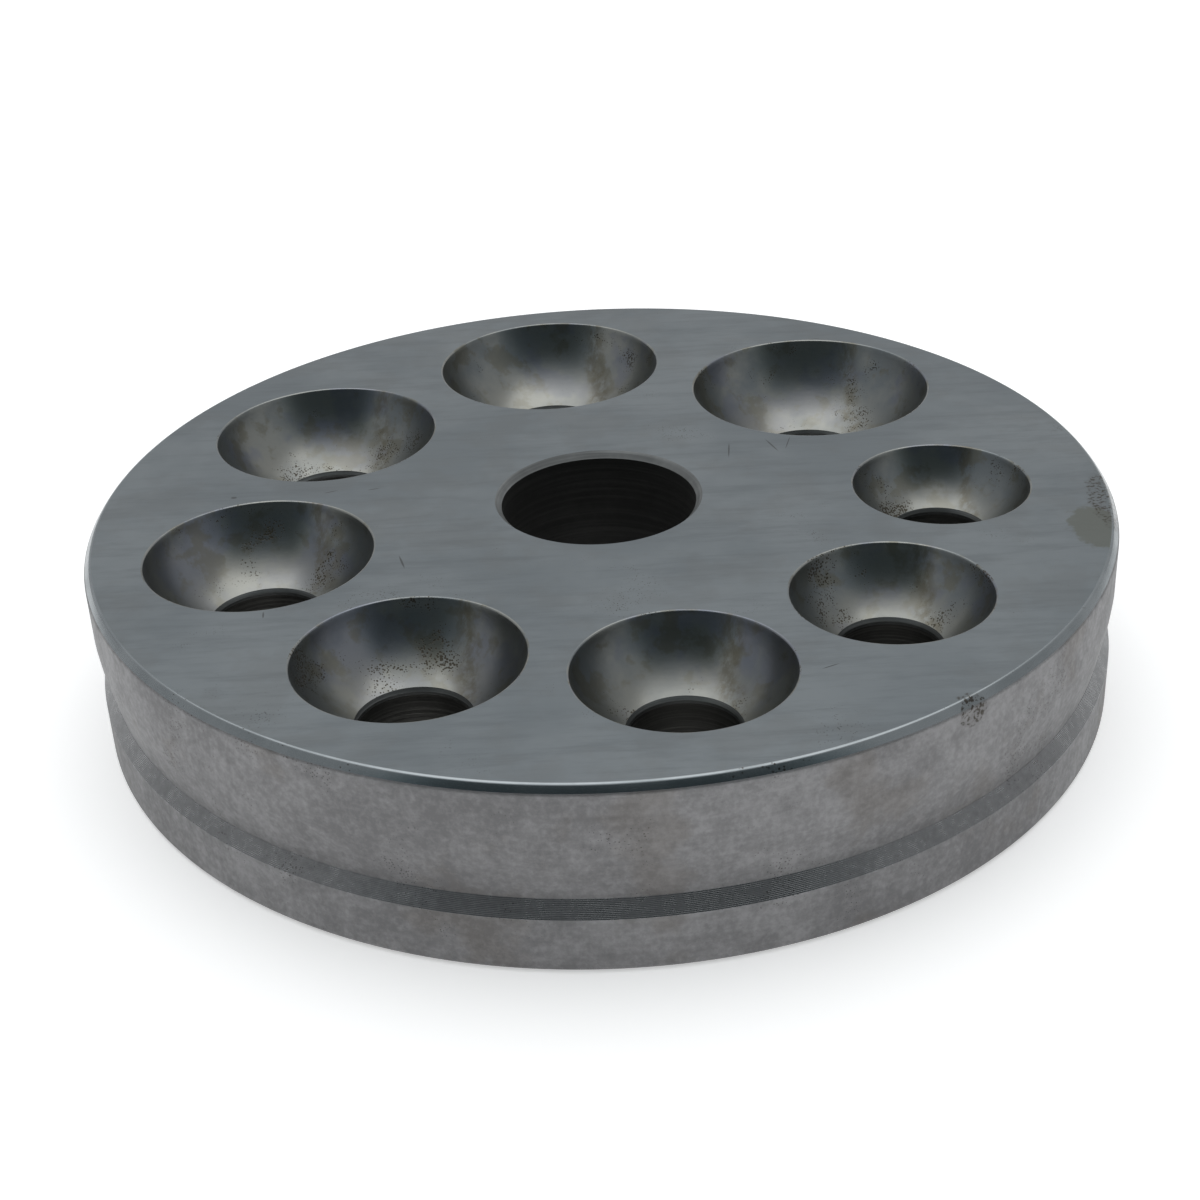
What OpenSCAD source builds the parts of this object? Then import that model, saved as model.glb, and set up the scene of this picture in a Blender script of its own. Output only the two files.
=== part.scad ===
// Ring reducing plate: one hardened steel disc with a ring of graded dished sockets.
// The origin is on the axis of the centre bore, at the underside. The sockets face up, along +Z.
// The smallest socket lies along +X, and the sockets grow clockwise as seen from above.

/* [Plate] */
// Outside diameter of the disc, in mm
plate_d = 130; // [127:0.5:136]
// Height from the underside to the ground top face, in mm
plate_h = 24; // [20:0.5:30]
// Radius of the rounded rim, top and bottom, in mm
rim_round = 1; // [0.4:0.1:2]

/* [Rim groove] */
// Depth below the top face at which the groove starts, in mm
groove_start = 7.4; // [4:0.2:8]
// Height of the gentle lead-in at the top of the groove, in mm
lead_h = 2; // [1:0.5:3]
// How far the lead-in is cut into the wall, in mm
lead_cut = 0.2; // [0.1:0.05:0.4]
// Height of the long upper flank below the lead-in, in mm
flank_h = 5.6; // [3:0.2:6]
// Depth of the groove at its sharp bottom, in mm
groove_cut = 1.25; // [0.6:0.05:3]
// Height of the short lower flank, which keeps its turning marks, in mm
heel_h = 1.9; // [1:0.1:2.5]

/* [Centre bore] */
// Diameter of the bore that turns on the press pin, in mm
bore_d = 25; // [16:0.5:32]
// Chamfer at both ends of the bore, in mm
bore_chamfer = 0.8; // [0.2:0.1:1.5]

/* [Sockets] */
// Number of sockets round the plate
socket_count = 8; // [4:1:8]
// Mouth diameter of the smallest socket, in mm
mouth_d = 22.4; // [18:0.2:24]
// Growth of the mouth diameter from one socket to the next, in mm
mouth_step = 1.5; // [0.8:0.1:1.8]
// Diameter of the circle that the sockets are centred on, in mm
pitch_d = 87.5; // [84:0.5:90]
// Radius of the dish as a share of its mouth radius
dish_ratio = 1.035; // [1.01:0.005:1.15]
// Edge break at the mouth of each dish, in mm
lip_break = 0.3; // [0.1:0.05:0.6]
// Angle of the smallest socket, in degrees from +X
first_turn = -1.4; // [-45:0.2:45]

/* [Webs between the sockets] */
// Share of the free arc left between the first two sockets
web_first = 6; // [3:0.1:9]
// Share of the free arc left between the next two
web_second = 4.7; // [3:0.1:8]
// Growth of that share from each web to the next
web_growth = 0.5; // [0:0.1:1]

/* [Drop holes] */
// Diameter of the hole under the smallest socket, in mm
hole_d = 12; // [8:0.5:13]
// Growth of the hole diameter from one socket to the next, in mm
hole_step = 0.5; // [0:0.1:0.8]
// Width of the bevel where the dish meets the hole, in mm
bevel_w = 0.25; // [0.1:0.05:0.8]
// Height of that bevel, in mm
bevel_h = 0.5; // [0.2:0.1:1]
// Chamfer where the hole leaves the underside, in mm
exit_chamfer = 0.5; // [0.2:0.1:1]

/* [Hidden] */
$fn = 96;
// Overlap of a cutter past the face that it cuts
over = 1;
plate_r = plate_d / 2;
pitch_r = pitch_d / 2;
bore_r = bore_d / 2;

// Radius of the mouth of socket i, with the smallest as 0
function mouth_r(i) = (mouth_d + i * mouth_step) / 2;
// Radius of the spherical dish, and the height of its centre above the top face
function dish_r(i) = mouth_r(i) * dish_ratio;
function dish_rise(i) = sqrt(pow(dish_r(i), 2) - pow(mouth_r(i), 2));
// Radius of the drop hole, and of the dish where the bevel starts
function hole_r(i) = (hole_d + i * hole_step) / 2;
function ring_r(i) = hole_r(i) + bevel_w;
// Depth below the top face at which the dish gives way to the bevel
function dish_depth(i) = sqrt(pow(dish_r(i), 2) - pow(ring_r(i), 2)) - dish_rise(i);

// Half of the angle that a mouth takes up on the pitch circle
function half_angle(i) = asin(mouth_r(i) / pitch_r);
// Share of the free arc that follows socket i; the shares close the circle
function web_share(i) = i == 0 ? web_first : web_second + (i - 1) * web_growth;
function total(list, i = 0) = i < len(list) ? list[i] + total(list, i + 1) : 0;
all_sockets = [for (i = [0 : socket_count - 1]) i];
mouths_angle = 2 * total([for (i = all_sockets) half_angle(i)]);
shares_sum = total([for (i = all_sockets) web_share(i)]);
share_angle = (360 - mouths_angle) / shares_sum;
// Step in angle from socket i to the next
function turn_step(i) = half_angle(i) + half_angle(i + 1) + web_share(i) * share_angle;
function socket_turn(i) = i == 0 ? first_turn : socket_turn(i - 1) - turn_step(i - 1);

// Half section of the disc, with its rounded rim edges
module disc_section() {
    square([plate_r - rim_round, plate_h]);
    translate([0, rim_round]) square([plate_r, plate_h - 2 * rim_round]);
    for (z = [rim_round, plate_h - rim_round])
        translate([plate_r - rim_round, z]) circle(r = rim_round);
}

// Half section of the rim groove: a gentle lead-in, a long upper flank and a short lower one
module groove_section() {
    top_z = plate_h - groove_start;
    lead_z = top_z - lead_h;
    bottom_z = lead_z - flank_h;
    heel_z = bottom_z - heel_h;
    polygon([
        [plate_r, top_z],
        [plate_r - lead_cut, lead_z],
        [plate_r - groove_cut, bottom_z],
        [plate_r, heel_z],
        [plate_r + over, heel_z],
        [plate_r + over, top_z]
    ]);
}

// Cone that breaks a round edge of radius r at height z; side is 1 at a top face, -1 at an underside
module edge_break(r, z, size, side) {
    low_z = side > 0 ? z - size : z - over;
    low_r = side > 0 ? r : r + size + over;
    high_r = side > 0 ? r + size + over : r;
    translate([0, 0, low_z]) cylinder(r1 = low_r, r2 = high_r, h = size + over);
}

module centre_bore() {
    translate([0, 0, -over]) cylinder(r = bore_r, h = plate_h + 2 * over);
    edge_break(bore_r, plate_h, bore_chamfer, 1);
    edge_break(bore_r, 0, bore_chamfer, -1);
}

// Space of socket i on its own axis: dish, mouth edge, bevel and drop hole
module socket_space(i) {
    bevel_z = plate_h - dish_depth(i) - bevel_h;
    translate([0, 0, plate_h + dish_rise(i)]) sphere(r = dish_r(i));
    edge_break(mouth_r(i), plate_h, lip_break, 1);
    translate([0, 0, bevel_z]) cylinder(r1 = hole_r(i), r2 = ring_r(i), h = bevel_h);
    translate([0, 0, -over]) cylinder(r = hole_r(i), h = bevel_z + over + bevel_h);
    edge_break(hole_r(i), 0, exit_chamfer, -1);
}

module reducing_plate() {
    color("#7b8488") difference() {
        rotate_extrude() difference() {
            disc_section();
            groove_section();
        }
        centre_bore();
        for (i = all_sockets)
            rotate([0, 0, socket_turn(i)]) translate([pitch_r, 0, 0]) socket_space(i);
    }
}

reducing_plate();
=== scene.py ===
from collections import namedtuple
from math import asin, cos, degrees, pi, radians, sin, sqrt

import bmesh
import bpy
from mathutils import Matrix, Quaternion, Vector


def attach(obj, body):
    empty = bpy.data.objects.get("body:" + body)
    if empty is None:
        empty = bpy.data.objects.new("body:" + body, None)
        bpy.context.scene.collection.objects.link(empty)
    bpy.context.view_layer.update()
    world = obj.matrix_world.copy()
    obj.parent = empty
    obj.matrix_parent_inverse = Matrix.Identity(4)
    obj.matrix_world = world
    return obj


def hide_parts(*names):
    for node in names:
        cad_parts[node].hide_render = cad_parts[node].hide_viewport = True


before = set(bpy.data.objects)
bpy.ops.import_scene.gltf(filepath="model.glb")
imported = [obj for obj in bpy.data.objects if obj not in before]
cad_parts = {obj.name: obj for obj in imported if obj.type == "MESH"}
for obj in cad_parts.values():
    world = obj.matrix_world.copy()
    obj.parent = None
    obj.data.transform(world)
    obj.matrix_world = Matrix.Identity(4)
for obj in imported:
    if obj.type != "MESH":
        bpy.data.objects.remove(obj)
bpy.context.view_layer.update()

MM = 0.001

# Driving sizes of the plate in mm, the same as in its source
plate_d = 130.0
plate_h = 24.0
rim_round = 1.0
groove_start = 7.4
lead_h = 2.0
lead_cut = 0.2
flank_h = 5.6
groove_cut = 1.25
heel_h = 1.9
bore_d = 25.0
bore_chamfer = 0.8
socket_count = 8
mouth_d = 22.4
mouth_step = 1.5
pitch_d = 87.5
dish_ratio = 1.035
first_turn = -1.4
web_first = 6.0
web_second = 4.7
web_growth = 0.5
hole_d = 12.0
hole_step = 0.5
bevel_w = 0.25
bevel_h = 0.5
exit_chamfer = 0.5

plate_r = plate_d / 2
bore_r = bore_d / 2
pitch_r = pitch_d / 2

# Fine forms that only the visual has, in mm
line_count = 12
line_depth = 0.019
edge_width = 0.78
edge_drop = 1.0
edge_foot = 0.2
lip_round = 0.2
lit_ring = 0.4
# Shares of the rim's slope at which its straight facet starts and ends
facet_start = 0.18
facet_end = 0.82

# Steps round each turned surface
wall_steps = 288
socket_steps = 128
bore_steps = 128
# Steps along each curved profile
edge_steps = 4
facet_steps = 2
foot_steps = 8
line_steps = 4
lip_steps = 6
dish_steps = 24

# Points of the turned parts that lie closer than this, in mm, are one point
same_place = 1e-4
# Edges between faces that meet at more than this angle stay sharp
crease_angle = radians(20)


def mouth_r(i):
    return (mouth_d + i * mouth_step) / 2


def dish_r(i):
    return mouth_r(i) * dish_ratio


def dish_rise(i):
    """Height of the centre of the dish's sphere above the top face."""
    return sqrt(dish_r(i) ** 2 - mouth_r(i) ** 2)


def hole_r(i):
    return (hole_d + i * hole_step) / 2


def ring_r(i):
    return hole_r(i) + bevel_w


def dish_depth(i):
    """Depth below the top face at which the dish gives way to the bevel."""
    return sqrt(dish_r(i) ** 2 - ring_r(i) ** 2) - dish_rise(i)


def half_angle(i):
    """Half of the angle that a mouth takes up on the pitch circle, in degrees."""
    return degrees(asin(mouth_r(i) / pitch_r))


def web_share(i):
    """Share of the free arc that follows socket i."""
    return web_first if i == 0 else web_second + (i - 1) * web_growth


mouths_angle = 2 * sum(map(half_angle, range(socket_count)))
share_angle = (360 - mouths_angle) / sum(map(web_share, range(socket_count)))


def socket_turn(i):
    """Angle of socket i from +X in degrees; the sockets follow each other clockwise."""
    if i == 0:
        return first_turn
    web_angle = web_share(i - 1) * share_angle
    return socket_turn(i - 1) - half_angle(i - 1) - half_angle(i) - web_angle


def socket_place(i):
    turned = radians(socket_turn(i))
    return pitch_r * cos(turned), pitch_r * sin(turned)


# Profiles: lists of (radius, height) that a surface is turned from

def rounded(start, corner, end, steps):
    """Points of the round that meets start-corner and corner-end; a true arc where both are as long."""
    a, c, b = Vector(start), Vector(corner), Vector(end)
    weight = cos((c - a).angle(b - c) / 2)
    points = []
    for k in range(steps + 1):
        t = k / steps
        shares = (1 - t) ** 2, 2 * weight * t * (1 - t), t ** 2
        points.append((a * shares[0] + c * shares[1] + b * shares[2]) / sum(shares))
    return points


def lined(start, end, count, depth, steps):
    """A straight flank with count shallow rounded ridges, as a turning tool leaves them."""
    a, b = Vector(start), Vector(end)
    along = b - a
    outward = Vector((-along.y, along.x)).normalized()
    points = []
    for k in range(count * steps + 1):
        share = (k % steps) / steps
        points.append(a + along * (k / (count * steps)) + outward * depth * 4 * share * (1 - share))
    return points


# Mesh of the plate: each profile is turned in a mesh of its own, because a spin gets slow in a large one

# Finishes, by the number of their material slot
GROUND, EDGE, WALL, HEEL, DISH, BEVEL, HOLE, BORE = range(8)


def turn(bm, points, steps, finish, centre=(0.0, 0.0)):
    """Spins a profile once round the upright axis through centre and adds it to bm."""
    part = bmesh.new()
    verts = [part.verts.new((centre[0] + r, centre[1], z)) for r, z in points]
    edges = [part.edges.new(pair) for pair in zip(verts, verts[1:])]
    bmesh.ops.spin(
        part, geom=verts + edges, cent=(*centre, 0), axis=(0, 0, 1), dvec=(0, 0, 0),
        angle=2 * pi, steps=steps, use_merge=True, use_duplicate=False,
    )
    for face in part.faces:
        face.material_index = finish
    mesh = bpy.data.meshes.new("turned_part")
    part.to_mesh(mesh)
    part.free()
    bm.from_mesh(mesh)
    bpy.data.meshes.remove(mesh)


def cap(bm, height, finish):
    """Fills the flat face between all open edges at that height."""
    rims = [
        edge for edge in bm.edges
        if edge.is_boundary and all(abs(vert.co.z - height) < same_place for vert in edge.verts)
    ]
    filled = bmesh.ops.triangle_fill(bm, edges=rims, use_beauty=True, normal=(0, 0, 1))
    for item in filled["geom"]:
        if isinstance(item, bmesh.types.BMFace):
            item.material_index = finish


def turn_outside(bm):
    """The rim edges, the wall and its groove, from the top face down."""
    edge_top = Vector((plate_r - edge_width, plate_h))
    edge_low = Vector((plate_r, plate_h - edge_drop))
    edge_end = (plate_r, plate_h - edge_drop - edge_foot)
    facet_top = edge_top.lerp(edge_low, facet_start)
    facet_low = edge_top.lerp(edge_low, facet_end)
    groove_top = (plate_r, plate_h - groove_start)
    lead_end = (plate_r - lead_cut, plate_h - groove_start - lead_h)
    groove_bottom = (plate_r - groove_cut, plate_h - groove_start - lead_h - flank_h)
    heel_end = (plate_r, plate_h - groove_start - lead_h - flank_h - heel_h)
    foot_top = (plate_r, rim_round)
    profiles = [
        (rounded((plate_r - rim_round, plate_h), edge_top, facet_top, edge_steps), EDGE),
        (rounded(facet_top, facet_top.lerp(facet_low, 0.5), facet_low, facet_steps), EDGE),
        (rounded(facet_low, edge_low, edge_end, edge_steps), WALL),
        ([edge_end, groove_top], WALL),
        ([groove_top, lead_end, groove_bottom], WALL),
        (lined(groove_bottom, heel_end, line_count, line_depth, line_steps), HEEL),
        ([heel_end, foot_top], WALL),
        (rounded(foot_top, (plate_r, 0), (plate_r - rim_round, 0), foot_steps), WALL),
    ]
    for points, finish in profiles:
        turn(bm, points, wall_steps, finish)


def turn_bore(bm):
    """The bore's wall and the chamfers at its two ends."""
    wall_top = (bore_r, plate_h - bore_chamfer)
    wall_low = (bore_r, bore_chamfer)
    turn(bm, [(bore_r + bore_chamfer, plate_h), wall_top], bore_steps, BEVEL)
    turn(bm, [wall_top, wall_low], bore_steps, BORE)
    turn(bm, [wall_low, (bore_r + bore_chamfer, 0)], bore_steps, BEVEL)


def turn_socket(bm, i):
    """The dish with its rounded lip, the bevel under it, and the drop hole."""
    radius = dish_r(i)
    # Angles below the level of the sphere's centre, at the lip and at the lower end of the dish
    lip_angle = asin((dish_rise(i) + lip_round) / radius)
    ring_angle = asin((dish_rise(i) + dish_depth(i)) / radius)
    angles = [lip_angle + (ring_angle - lip_angle) * k / dish_steps for k in range(dish_steps + 1)]
    sphere_z = plate_h + dish_rise(i)
    lip_end = Vector((radius * cos(lip_angle), plate_h - lip_round))
    upward = Vector((sin(lip_angle), cos(lip_angle)))
    lip_corner = lip_end + upward * (lip_round / upward.y)
    ring = (ring_r(i), plate_h - dish_depth(i))
    hole_top = (hole_r(i), plate_h - dish_depth(i) - bevel_h)
    lit_end = (hole_r(i), plate_h - dish_depth(i) - bevel_h - lit_ring)
    hole_end = (hole_r(i), exit_chamfer)
    profiles = [
        (rounded((mouth_r(i) + lip_round, plate_h), lip_corner, lip_end, lip_steps), DISH),
        ([(radius * cos(angle), sphere_z - radius * sin(angle)) for angle in angles], DISH),
        ([ring, hole_top], BEVEL),
        ([hole_top, lit_end], BEVEL),
        ([lit_end, hole_end], HOLE),
        ([hole_end, (hole_r(i) + exit_chamfer, 0)], BEVEL),
    ]
    for points, finish in profiles:
        turn(bm, points, socket_steps, finish, socket_place(i))


SOCKET_PLACE = "socket_place"


def mark_sockets(mesh):
    """Gives each point its place in the nearest socket: across it and down it, in mouth radii."""
    centres = [Vector(socket_place(i)) * MM for i in range(socket_count)]
    layer = mesh.attributes.new(SOCKET_PLACE, "FLOAT_VECTOR", "POINT")
    for vert in mesh.vertices:
        nearest = min(range(socket_count), key=lambda i: (vert.co.xy - centres[i]).length)
        radius = mouth_r(nearest) * MM
        across = (vert.co.xy - centres[nearest]) / radius
        down = (plate_h * MM - vert.co.z) / radius
        layer.data[vert.index].vector = (across.x, across.y, down)


def make_plate(materials):
    """The plate as one mesh; materials holds one material for each finish."""
    bm = bmesh.new()
    turn_outside(bm)
    turn_bore(bm)
    for i in range(socket_count):
        turn_socket(bm, i)
    bmesh.ops.remove_doubles(bm, verts=bm.verts, dist=same_place)
    cap(bm, plate_h, GROUND)
    cap(bm, 0, GROUND)
    bmesh.ops.scale(bm, vec=(MM, MM, MM), verts=bm.verts)
    bmesh.ops.recalc_face_normals(bm, faces=bm.faces)
    for face in bm.faces:
        face.smooth = True
    for edge in bm.edges:
        finishes = {face.material_index for face in edge.link_faces}
        crease = len(edge.link_faces) == 2 and edge.calc_face_angle() > crease_angle
        edge.smooth = not (crease or (GROUND in finishes and len(finishes) > 1))
    mesh = bpy.data.meshes.new("steel_plate")
    bm.to_mesh(mesh)
    bm.free()
    mark_sockets(mesh)
    for finish in sorted(materials):
        mesh.materials.append(materials[finish])
    plate = bpy.data.objects.new("steel_plate", mesh)
    bpy.context.scene.collection.objects.link(plate)
    return plate


# Shader nodes

# The Mix node has sockets for each kind of data; these are the ones that it uses for colours
MIX_SHARE, MIX_LOW, MIX_HIGH, MIX_RESULT = 0, 6, 7, 2


def feed(tree, value, socket):
    """Links a socket, or sets a number."""
    if isinstance(value, (int, float)):
        socket.default_value = value
    else:
        tree.links.new(value, socket)


def place(tree, stretch=(1, 1, 1), shift=(0, 0, 0), angle=0.0, kind="POINT"):
    """Object coordinates through a Mapping node of that kind; angle is about the upright axis."""
    where = tree.nodes.new("ShaderNodeTexCoord")
    mapping = tree.nodes.new("ShaderNodeMapping")
    mapping.vector_type = kind
    mapping.inputs["Location"].default_value = shift
    mapping.inputs["Rotation"].default_value = (0, 0, radians(angle))
    mapping.inputs["Scale"].default_value = stretch
    tree.links.new(where.outputs["Object"], mapping.inputs["Vector"])
    return mapping.outputs["Vector"]


def noise(tree, vector, scale, detail=3.0, roughness=0.5):
    node = tree.nodes.new("ShaderNodeTexNoise")
    node.inputs["Detail"].default_value = detail
    node.inputs["Roughness"].default_value = roughness
    tree.links.new(vector, node.inputs["Vector"])
    feed(tree, scale, node.inputs["Scale"])
    return node.outputs["Fac"]


def maths(tree, operation, *values, clamp=False):
    node = tree.nodes.new("ShaderNodeMath")
    node.operation = operation
    node.use_clamp = clamp
    for value, socket in zip(values, node.inputs):
        feed(tree, value, socket)
    return node.outputs["Value"]


def length(tree, vector):
    node = tree.nodes.new("ShaderNodeVectorMath")
    node.operation = "LENGTH"
    tree.links.new(vector, node.inputs[0])
    return node.outputs["Value"]


def step(tree, value, low, high, to_low=0.0, to_high=1.0):
    """Smooth step: to_low where value is low or less, and to_high where it is high or more."""
    node = tree.nodes.new("ShaderNodeMapRange")
    node.interpolation_type = "SMOOTHSTEP"
    numbers = {"Value": value, "From Min": low, "From Max": high, "To Min": to_low, "To Max": to_high}
    for label, number in numbers.items():
        feed(tree, number, node.inputs[label])
    return node.outputs["Result"]


def tint(tree, share, low, high):
    """Mixes two colours, or a colour socket and a colour, by share."""
    node = tree.nodes.new("ShaderNodeMix")
    node.data_type = "RGBA"
    feed(tree, share, node.inputs[MIX_SHARE])
    for colour, socket in ((low, node.inputs[MIX_LOW]), (high, node.inputs[MIX_HIGH])):
        if isinstance(colour, tuple):
            socket.default_value = (*colour, 1)
        else:
            tree.links.new(colour, socket)
    return node.outputs[MIX_RESULT]


# Effects: node groups that the materials share

def new_group(name, inputs, outputs):
    """A shader node group; inputs are (name, default) numbers, outputs are names of numbers."""
    tree = bpy.data.node_groups.new(name, "ShaderNodeTree")
    for label, default in inputs:
        socket = tree.interface.new_socket(label, in_out="INPUT", socket_type="NodeSocketFloat")
        socket.default_value = default
    for label in outputs:
        tree.interface.new_socket(label, in_out="OUTPUT", socket_type="NodeSocketFloat")
    return tree, tree.nodes.new("NodeGroupInput"), tree.nodes.new("NodeGroupOutput")


def clouds_group():
    """Soft smudges: large clouds broken by smaller ones."""
    tree, enter, leave = new_group("soft_clouds", [("Scale", 40.0), ("Seed", 0.0)], ["Mask"])
    moved = tree.nodes.new("ShaderNodeVectorMath")
    moved.operation = "ADD"
    tree.links.new(place(tree), moved.inputs[0])
    tree.links.new(enter.outputs["Seed"], moved.inputs[1])
    cloud = noise(tree, moved.outputs[0], enter.outputs["Scale"], detail=4.0, roughness=0.6)
    tree.links.new(step(tree, cloud, 0.35, 0.65), leave.inputs["Mask"])
    return tree


def specks_group():
    """Small spots of rust: the cells that lie inside a broken cloud."""
    sizes = [("Scale", 600.0), ("Amount", 0.5), ("Spread", 90.0)]
    tree, enter, leave = new_group("rust_specks", sizes, ["Mask"])
    base = place(tree)
    cells = tree.nodes.new("ShaderNodeTexVoronoi")
    tree.links.new(base, cells.inputs["Vector"])
    tree.links.new(enter.outputs["Scale"], cells.inputs["Scale"])
    cloud = noise(tree, base, enter.outputs["Spread"], detail=4.0, roughness=0.65)
    limit = maths(tree, "MULTIPLY", step(tree, cloud, 0.46, 0.72), enter.outputs["Amount"])
    inner = maths(tree, "ADD", limit, -0.12)
    mask = step(tree, cells.outputs["Distance"], limit, inner)
    mask = maths(tree, "MULTIPLY", mask, step(tree, limit, 0.02, 0.15))
    tree.links.new(mask, leave.inputs["Mask"])
    return tree


def grain_group():
    """Fine matt grain with faint marks along one direction."""
    sizes = [("Scale", 1500.0), ("Marks", 0.5)]
    tree, enter, leave = new_group("steel_grain", sizes, ["Height", "Mask"])
    fine = noise(tree, place(tree), enter.outputs["Scale"], detail=3.0, roughness=0.7)
    marks = noise(tree, place(tree, (0.06, 1.0, 1.0)), enter.outputs["Scale"], detail=2.0, roughness=0.6)
    mixed = maths(tree, "MULTIPLY_ADD", marks, enter.outputs["Marks"], fine)
    tree.links.new(mixed, leave.inputs["Height"])
    tree.links.new(step(tree, mixed, 0.45, 1.05), leave.inputs["Mask"])
    return tree


EFFECTS = {"clouds": clouds_group(), "specks": specks_group(), "grain": grain_group()}


def effect(tree, name, output, **inputs):
    """Places an effect with its own values and returns one of its outputs."""
    node = tree.nodes.new("ShaderNodeGroup")
    node.node_tree = EFFECTS[name]
    for label, value in inputs.items():
        feed(tree, value, node.inputs[label])
    return node.outputs[output]


# Marks in places of their own, in mm

worn_patch = (60.6, -15.0, plate_h)
worn_patch_size = (3.6, 5.6, 3.0)
patch_pits = (64.0, -8.5, plate_h)
patch_pits_size = (3.0, 8.5, 3.0)
rim_rust = (38.6, -52.1, plate_h - 1.3)
rim_rust_size = (2.2, 2.2, 1.8)

Mark = namedtuple("Mark", "x y half_length half_width angle")
# Dents and scratches in the top face, with their angles in degrees from +X
top_marks = [
    Mark(x=-47.4, y=4.3, half_length=0.5, half_width=0.35, angle=0),
    Mark(x=-34.8, y=4.7, half_length=1.1, half_width=0.12, angle=20),
    Mark(x=-29.2, y=4.9, half_length=1.0, half_width=0.12, angle=15),
    Mark(x=-39.8, y=-26.8, half_length=0.9, half_width=0.13, angle=95),
    Mark(x=-24.3, y=-15.4, half_length=2.0, half_width=0.16, angle=105),
    Mark(x=17.6, y=11.5, half_length=2.6, half_width=0.13, angle=85),
    Mark(x=23.4, y=12.4, half_length=2.4, half_width=0.15, angle=110),
    Mark(x=25.6, y=13.0, half_length=2.2, half_width=0.10, angle=75),
    Mark(x=12.5, y=-47.5, half_length=1.2, half_width=0.10, angle=30),
    Mark(x=24.5, y=-44.0, half_length=1.3, half_width=0.12, angle=25),
    Mark(x=33.0, y=48.0, half_length=1.2, half_width=0.10, angle=10),
    Mark(x=-12.0, y=52.5, half_length=1.5, half_width=0.12, angle=5),
]


def spot(tree, centre, size):
    """1 inside a soft spot of that half size round a place in mm, broken at its edge by fine clouds."""
    shift = [-c / s for c, s in zip(centre, size)]
    stretch = [1 / (s * MM) for s in size]
    from_centre = length(tree, place(tree, stretch, shift))
    # The clouds add about 0.5, so that the edge lies near the half size
    clouds = noise(tree, place(tree), 500.0, detail=3.0, roughness=0.6)
    return step(tree, maths(tree, "ADD", from_centre, clouds), 1.55, 1.35)


def scratch(tree, mark):
    """1 along a short mark in the top face."""
    size = (mark.half_length * MM, mark.half_width * MM, 1)
    centre = (mark.x * MM, mark.y * MM, plate_h * MM)
    from_centre = length(tree, place(tree, size, centre, mark.angle, "TEXTURE"))
    return step(tree, from_centre, 1.0, 0.5)


# Colours of the steel and of what lies on it, with the painted shade of the holes and a painted
# reflection in the dishes, in linear light

ground_dark, ground_light = (0.170, 0.191, 0.204), (0.215, 0.237, 0.250)
ground_streak = (0.125, 0.14, 0.15)
ground_smudge = (0.150, 0.154, 0.152)
ground_speck = (0.07, 0.07, 0.065)
ground_mark = (0.06, 0.062, 0.06)
worn_colour = (0.125, 0.131, 0.110)
pit_colour = (0.05, 0.042, 0.032)
edge_dark, edge_light = (0.225, 0.246, 0.258), (0.280, 0.302, 0.315)
edge_speck = (0.06, 0.052, 0.045)
wall_dark, wall_light = (0.180, 0.178, 0.181), (0.262, 0.260, 0.264)
wall_speck = (0.055, 0.05, 0.045)
wall_stain = (0.15, 0.13, 0.11)
heel_dark, heel_light = (0.152, 0.154, 0.158), (0.220, 0.222, 0.227)
dish_dark, dish_light = (0.185, 0.203, 0.213), (0.265, 0.270, 0.255)
dish_blue = (0.165, 0.178, 0.232)
dish_olive = (0.150, 0.138, 0.096)
dish_straw = (0.232, 0.230, 0.205)
# Dark of a painted reflection: an upright band on the far wall of each dish
dish_reflection_dark = (0.125, 0.112, 0.080)
dish_speck = (0.06, 0.05, 0.035)
bevel_dark, bevel_light = (0.13, 0.135, 0.135), (0.30, 0.31, 0.31)
# Painted shade: the drilled holes' colours are far darker than the steel, standing in for the shade down
# inside them
hole_shade_dark, hole_shade_light = (0.045, 0.045, 0.041), (0.14, 0.139, 0.13)
# Painted shade: the bore's colours are near black, standing in for the shade inside it
bore_shade_dark, bore_shade_light = (0.012, 0.012, 0.011), (0.03, 0.03, 0.028)


# Materials

def steel(name, metallic):
    material = bpy.data.materials.new(name)
    material.use_nodes = True
    shader = material.node_tree.nodes["Principled BSDF"]
    shader.inputs["Metallic"].default_value = metallic
    return material, material.node_tree, shader


def dress(tree, shader, colour, roughness, height, strength, relief):
    """Feeds the shader its colour, roughness and bump; relief is the height of the bump in mm."""
    bump = tree.nodes.new("ShaderNodeBump")
    bump.inputs["Strength"].default_value = strength
    bump.inputs["Distance"].default_value = relief * MM
    tree.links.new(height, bump.inputs["Height"])
    tree.links.new(bump.outputs["Normal"], shader.inputs["Normal"])
    tree.links.new(colour, shader.inputs["Base Color"])
    tree.links.new(roughness, shader.inputs["Roughness"])


def pitted(tree, colour, centre, size):
    """Dark rust pits, scattered inside a spot."""
    scatter = noise(tree, place(tree), 2300.0, detail=3.0, roughness=0.6)
    pits = step(tree, scatter, 0.50, 0.60, to_low=0.15, to_high=0.9)
    return tint(tree, maths(tree, "MULTIPLY", spot(tree, centre, size), pits), colour, pit_colour)


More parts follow.
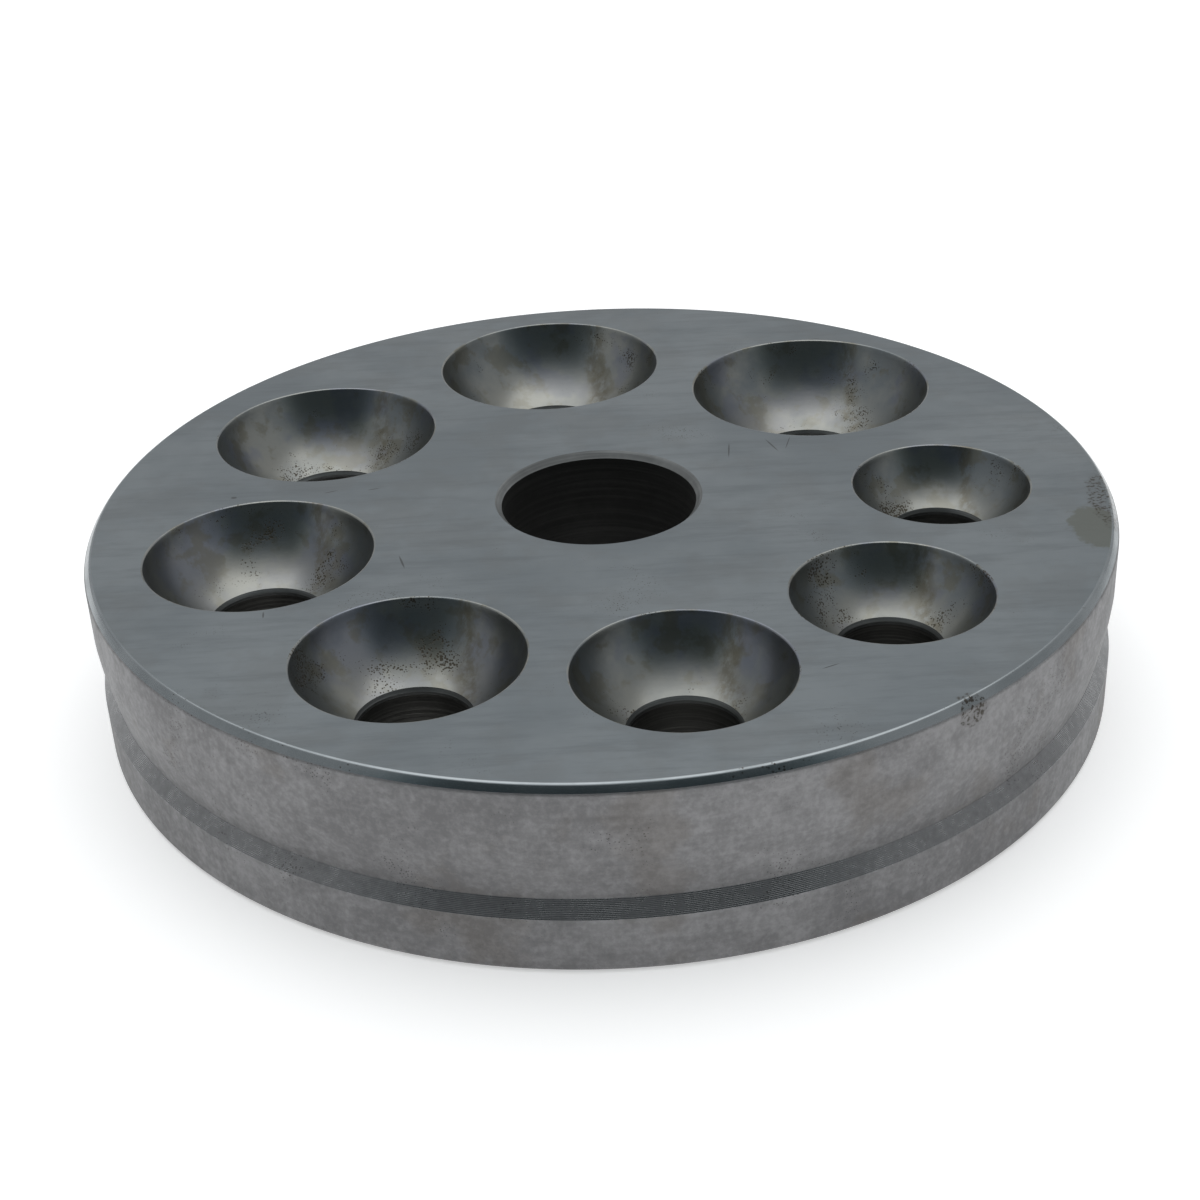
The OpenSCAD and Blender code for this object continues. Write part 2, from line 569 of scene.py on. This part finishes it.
def ground_face():
    """The two flat faces: cloudy and faintly streaked steel, with its marks."""
    material, tree, shader = steel("ground_face", 1.0)
    clouds = effect(tree, "clouds", "Mask", Scale=38.0)
    streaks = noise(tree, place(tree, (0.14, 1.0, 1.0)), 520.0, detail=5.0, roughness=0.7)
    smudges = effect(tree, "clouds", "Mask", Scale=105.0, Seed=23.0)
    specks = effect(tree, "specks", "Mask", Scale=3000.0, Amount=0.30, Spread=70.0)
    patch = spot(tree, worn_patch, worn_patch_size)
    marks = 0.0
    for mark in top_marks:
        marks = maths(tree, "MAXIMUM", marks, scratch(tree, mark))
    colour = tint(tree, clouds, ground_dark, ground_light)
    colour = tint(tree, step(tree, streaks, 0.42, 0.72, to_high=0.45), colour, ground_streak)
    colour = tint(tree, step(tree, smudges, 0.35, 1.0, to_high=0.22), colour, ground_smudge)
    colour = tint(tree, specks, colour, ground_speck)
    colour = tint(tree, maths(tree, "MULTIPLY", patch, 0.75), colour, worn_colour)
    colour = pitted(tree, colour, patch_pits, patch_pits_size)
    colour = pitted(tree, colour, rim_rust, rim_rust_size)
    colour = tint(tree, maths(tree, "MULTIPLY", marks, 0.75), colour, ground_mark)
    roughness = step(tree, clouds, 0, 1, to_low=0.42, to_high=0.36)
    grain = effect(tree, "grain", "Height", Scale=2200.0, Marks=0.8)
    dress(tree, shader, colour, roughness, grain, strength=0.25, relief=0.02)
    return material


def edge_round():
    """The smooth edge round the top face."""
    material, tree, shader = steel("edge_round", 1.0)
    clouds = effect(tree, "clouds", "Mask", Scale=120.0, Seed=3.0)
    specks = effect(tree, "specks", "Mask", Scale=2200.0, Amount=0.35, Spread=90.0)
    colour = tint(tree, clouds, edge_dark, edge_light)
    colour = pitted(tree, colour, patch_pits, patch_pits_size)
    colour = pitted(tree, colour, rim_rust, rim_rust_size)
    colour = tint(tree, specks, colour, edge_speck)
    roughness = step(tree, clouds, 0, 1, to_low=0.27, to_high=0.20)
    grain = effect(tree, "grain", "Height", Scale=1800.0)
    dress(tree, shader, colour, roughness, grain, strength=0.15, relief=0.02)
    return material


def turned_skin(tree, dark, light):
    """Colour of matt turned steel, mottled, streaked upright and lightly spotted, and the mottling."""
    mottle = effect(tree, "clouds", "Mask", Scale=260.0, Seed=7.0)
    broad = effect(tree, "clouds", "Mask", Scale=32.0, Seed=2.0)
    upright = noise(tree, place(tree, (1.0, 1.0, 0.08)), 700.0, detail=3.0, roughness=0.6)
    grain = effect(tree, "grain", "Mask", Scale=1300.0, Marks=0.4)
    specks = effect(tree, "specks", "Mask", Scale=2800.0, Amount=0.38, Spread=95.0)
    mixed = maths(tree, "ADD", maths(tree, "MULTIPLY", mottle, 0.35), maths(tree, "MULTIPLY", broad, 0.4))
    mixed = maths(tree, "ADD", mixed, step(tree, upright, 0.35, 0.7, to_high=0.14))
    mixed = maths(tree, "ADD", mixed, maths(tree, "MULTIPLY_ADD", grain, 0.8, -0.3), clamp=True)
    colour = tint(tree, mixed, dark, light)
    return tint(tree, maths(tree, "MULTIPLY", specks, 0.7), colour, wall_speck), mixed


def turned_wall():
    """The side wall and the upper part of its groove."""
    material, tree, shader = steel("turned_wall", 0.85)
    colour, mottling = turned_skin(tree, wall_dark, wall_light)
    stain = effect(tree, "clouds", "Mask", Scale=55.0, Seed=11.0)
    colour = tint(tree, step(tree, stain, 0.6, 1.0, to_high=0.3), colour, wall_stain)
    colour = pitted(tree, colour, rim_rust, rim_rust_size)
    roughness = step(tree, mottling, 0, 1, to_low=0.58, to_high=0.50)
    grain = effect(tree, "grain", "Height", Scale=1300.0)
    dress(tree, shader, colour, roughness, grain, strength=0.35, relief=0.03)
    return material


def lined_heel():
    """The groove's lower flank, smoother than the wall."""
    material, tree, shader = steel("lined_heel", 1.0)
    colour, mottling = turned_skin(tree, heel_dark, heel_light)
    roughness = step(tree, mottling, 0, 1, to_low=0.31, to_high=0.25)
    grain = effect(tree, "grain", "Height", Scale=1600.0)
    dress(tree, shader, colour, roughness, grain, strength=0.2, relief=0.02)
    return material


def painted_reflection_band(tree, axes):
    """Upright dark band painted on the far wall of each dish, right of its middle, at the same place in
    every dish: a painted reflection, broken into streaks.
    """
    wander = maths(tree, "MULTIPLY_ADD", noise(tree, place(tree), 260.0), 0.3, -0.15)
    across = maths(tree, "ADD", axes["X"], wander)
    band = maths(tree, "MULTIPLY", step(tree, across, 0.30, 0.42), step(tree, across, 0.58, 0.46))
    far = step(tree, axes["Y"], 0.0, 0.25)
    patches = noise(tree, place(tree, (1.0, 1.0, 0.25)), 900.0, detail=4.0, roughness=0.7)
    broken = step(tree, patches, 0.35, 0.6)
    return maths(tree, "MULTIPLY", maths(tree, "MULTIPLY", band, far), broken)


def polished_dish():
    """The dishes: smooth steel, tempered and stained, warmer towards the bottom, with a painted
    reflection band on each far wall.
    """
    material, tree, shader = steel("polished_dish", 1.0)
    local = tree.nodes.new("ShaderNodeAttribute")
    local.attribute_name = SOCKET_PLACE
    axes = tree.nodes.new("ShaderNodeSeparateXYZ")
    tree.links.new(local.outputs["Vector"], axes.inputs["Vector"])
    clouds = effect(tree, "clouds", "Mask", Scale=110.0, Seed=5.0)
    temper = effect(tree, "clouds", "Mask", Scale=90.0, Seed=13.0)
    olive = effect(tree, "clouds", "Mask", Scale=230.0, Seed=17.0)
    specks = effect(tree, "specks", "Mask", Scale=3400.0, Amount=0.62, Spread=120.0)
    reflection_band = painted_reflection_band(tree, axes.outputs)
    colour = tint(tree, clouds, dish_dark, dish_light)
    colour = tint(tree, step(tree, temper, 0.55, 1.0, to_high=0.5), colour, dish_blue)
    colour = tint(tree, step(tree, olive, 0.6, 1.0, to_high=0.5), colour, dish_olive)
    colour = tint(tree, step(tree, axes.outputs["Z"], 0.30, 0.55, to_high=0.5), colour, dish_straw)
    # Painted reflection: a dark upright band on each dish's far wall
    colour = tint(tree, maths(tree, "MULTIPLY", reflection_band, 0.6), colour, dish_reflection_dark)
    colour = tint(tree, maths(tree, "MULTIPLY", specks, 0.85), colour, dish_speck)
    polish = step(tree, clouds, 0, 1, to_low=0.36, to_high=0.28)
    roughness = maths(tree, "ADD", polish, maths(tree, "MULTIPLY", specks, 0.2))
    height = maths(tree, "SUBTRACT", effect(tree, "grain", "Height", Scale=1500.0), specks)
    dress(tree, shader, colour, roughness, height, strength=0.25, relief=0.03)
    return material


def dark_hole(name, dark, light, metallic, smoothest, pitch):
    """Machined hole wall: dark, with fine rings a pitch in mm apart; smoothest is its least roughness.
    The dark of the drilled holes and of the bore is painted shade.
    """
    material, tree, shader = steel(name, metallic)
    clouds = effect(tree, "clouds", "Mask", Scale=120.0, Seed=19.0)
    rings = noise(tree, place(tree, (0.02, 0.02, 1.0)), 1 / (pitch * MM), detail=2.0, roughness=0.6)
    cloudy = maths(tree, "MULTIPLY", clouds, 0.4)
    mixed = maths(tree, "ADD", cloudy, step(tree, rings, 0.4, 0.7, to_high=0.6))
    roughness = step(tree, mixed, 0, 1, to_low=smoothest + 0.08, to_high=smoothest)
    dress(tree, shader, tint(tree, mixed, dark, light), roughness, rings, strength=0.6, relief=0.06)
    return material


materials = {
    GROUND: ground_face(),
    EDGE: edge_round(),
    WALL: turned_wall(),
    HEEL: lined_heel(),
    DISH: polished_dish(),
    BEVEL: dark_hole("hole_bevel", bevel_dark, bevel_light, metallic=1.0, smoothest=0.42, pitch=0.5),
    # The drilled holes' dark colours are painted shade
    HOLE: dark_hole("drilled_hole_painted_shade", hole_shade_dark, hole_shade_light, metallic=0.8, smoothest=0.42, pitch=0.4),
    # The bore's near-black colours are painted shade
    BORE: dark_hole("bore_wall_painted_shade", bore_shade_dark, bore_shade_light, metallic=0.5, smoothest=0.6, pitch=0.6),
}

plate = make_plate(materials)
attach(plate, "root")
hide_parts("reducing_plate")


# Floor: it glows a little, so that it stays white under the plate's edge

floor_half_width = 4.0
floor_white = (0.9, 0.9, 0.9, 1)
floor_glow = 0.42
floor_roughness = 0.8


def make_floor():
    bm = bmesh.new()
    bmesh.ops.create_grid(bm, x_segments=1, y_segments=1, size=floor_half_width)
    mesh = bpy.data.meshes.new("studio_floor")
    bm.to_mesh(mesh)
    bm.free()
    material = bpy.data.materials.new("white_floor")
    material.use_nodes = True
    shader = material.node_tree.nodes["Principled BSDF"]
    shader.inputs["Base Color"].default_value = floor_white
    shader.inputs["Roughness"].default_value = floor_roughness
    shader.inputs["Emission Color"].default_value = (1, 1, 1, 1)
    shader.inputs["Emission Strength"].default_value = floor_glow
    mesh.materials.append(material)
    floor = bpy.data.objects.new("studio_floor", mesh)
    bpy.context.scene.collection.objects.link(floor)
    return floor


make_floor()


# Light: a weak softbox overhead, in a light tent

plate_middle = Vector((0, 0, plate_h / 2)) * MM

# Brightness of the tent behind the camera, at the sides, added at the far side, and overhead
front_light = 0.08
side_light = 0.52
far_light = 0.15
roof_light = 1.10
tent_dark, tent_bright = (0.72, 0.93, 1.0), (0.97, 0.99, 1.0)


def softbox(name, azimuth, elevation, distance, width, height, power):
    """A lamp that faces the plate, in metres; azimuth 0 stands behind the camera and 90 to its right."""
    a, e = radians(azimuth), radians(elevation)
    toward = Vector((sin(a) * cos(e), -cos(a) * cos(e), sin(e)))
    data = bpy.data.lights.new(name, "AREA")
    data.shape = "RECTANGLE"
    data.size = width
    data.size_y = height
    data.energy = power
    light = bpy.data.objects.new(name, data)
    light.location = plate_middle + toward * distance
    light.rotation_mode = "QUATERNION"
    light.rotation_quaternion = toward.to_track_quat("Z", "Y")
    bpy.context.scene.collection.objects.link(light)


softbox("overhead_softbox", azimuth=180, elevation=75, distance=1.2, width=1.6, height=1.2, power=5)


def studio_air():
    """The light tent: bright overhead, softer at the sides and back, open and dark behind the camera."""
    world = bpy.data.worlds.new("studio_air")
    world.use_nodes = True
    tree = world.node_tree
    where = tree.nodes.new("ShaderNodeTexCoord")
    axes = tree.nodes.new("ShaderNodeSeparateXYZ")
    tree.links.new(where.outputs["Generated"], axes.inputs["Vector"])
    upward = axes.outputs["Z"]
    # How much a direction, seen from above, points away from the camera: -1 is straight behind it
    flat = maths(tree, "SQRT", maths(tree, "SUBTRACT", 1.0, maths(tree, "POWER", upward, 2.0)))
    facing = maths(tree, "DIVIDE", axes.outputs["Y"], maths(tree, "MAXIMUM", flat, 0.001))
    side = step(tree, facing, -0.82, -0.48, to_low=front_light, to_high=side_light)
    walls = maths(tree, "ADD", side, step(tree, facing, 0.1, 0.9, to_high=far_light))
    roof = step(tree, upward, 0.72, 1.0)
    gain = maths(tree, "SUBTRACT", roof_light, walls)
    strength = maths(tree, "MULTIPLY_ADD", roof, gain, walls)
    colour = tint(tree, step(tree, strength, 0.1, 0.6), tent_dark, tent_bright)
    background = tree.nodes["Background"]
    tree.links.new(colour, background.inputs["Color"])
    tree.links.new(strength, background.inputs["Strength"])
    return world


bpy.context.scene.world = studio_air()
bpy.context.scene.view_settings.view_transform = "Standard"


# Camera at the photograph's place, worked out from the rim and hole ellipses

camera_place = Vector((0, -233.22, 141.80)) * MM
camera_aim = Vector((-0.42, -27.03, 24.0)) * MM
camera_roll = radians(-2.794)
camera_lens = 61.07

camera_data = bpy.data.cameras.new("photo_camera")
camera_data.lens = camera_lens
camera_data.sensor_width = 36
camera_data.clip_start = 0.01
camera_data.clip_end = 20
camera = bpy.data.objects.new("photo_camera", camera_data)
camera.location = camera_place
camera.rotation_mode = "QUATERNION"
looking = (camera_aim - camera_place).to_track_quat("-Z", "Y")
camera.rotation_quaternion = looking @ Quaternion((0, 0, 1), camera_roll)
bpy.context.scene.collection.objects.link(camera)
bpy.context.scene.camera = camera
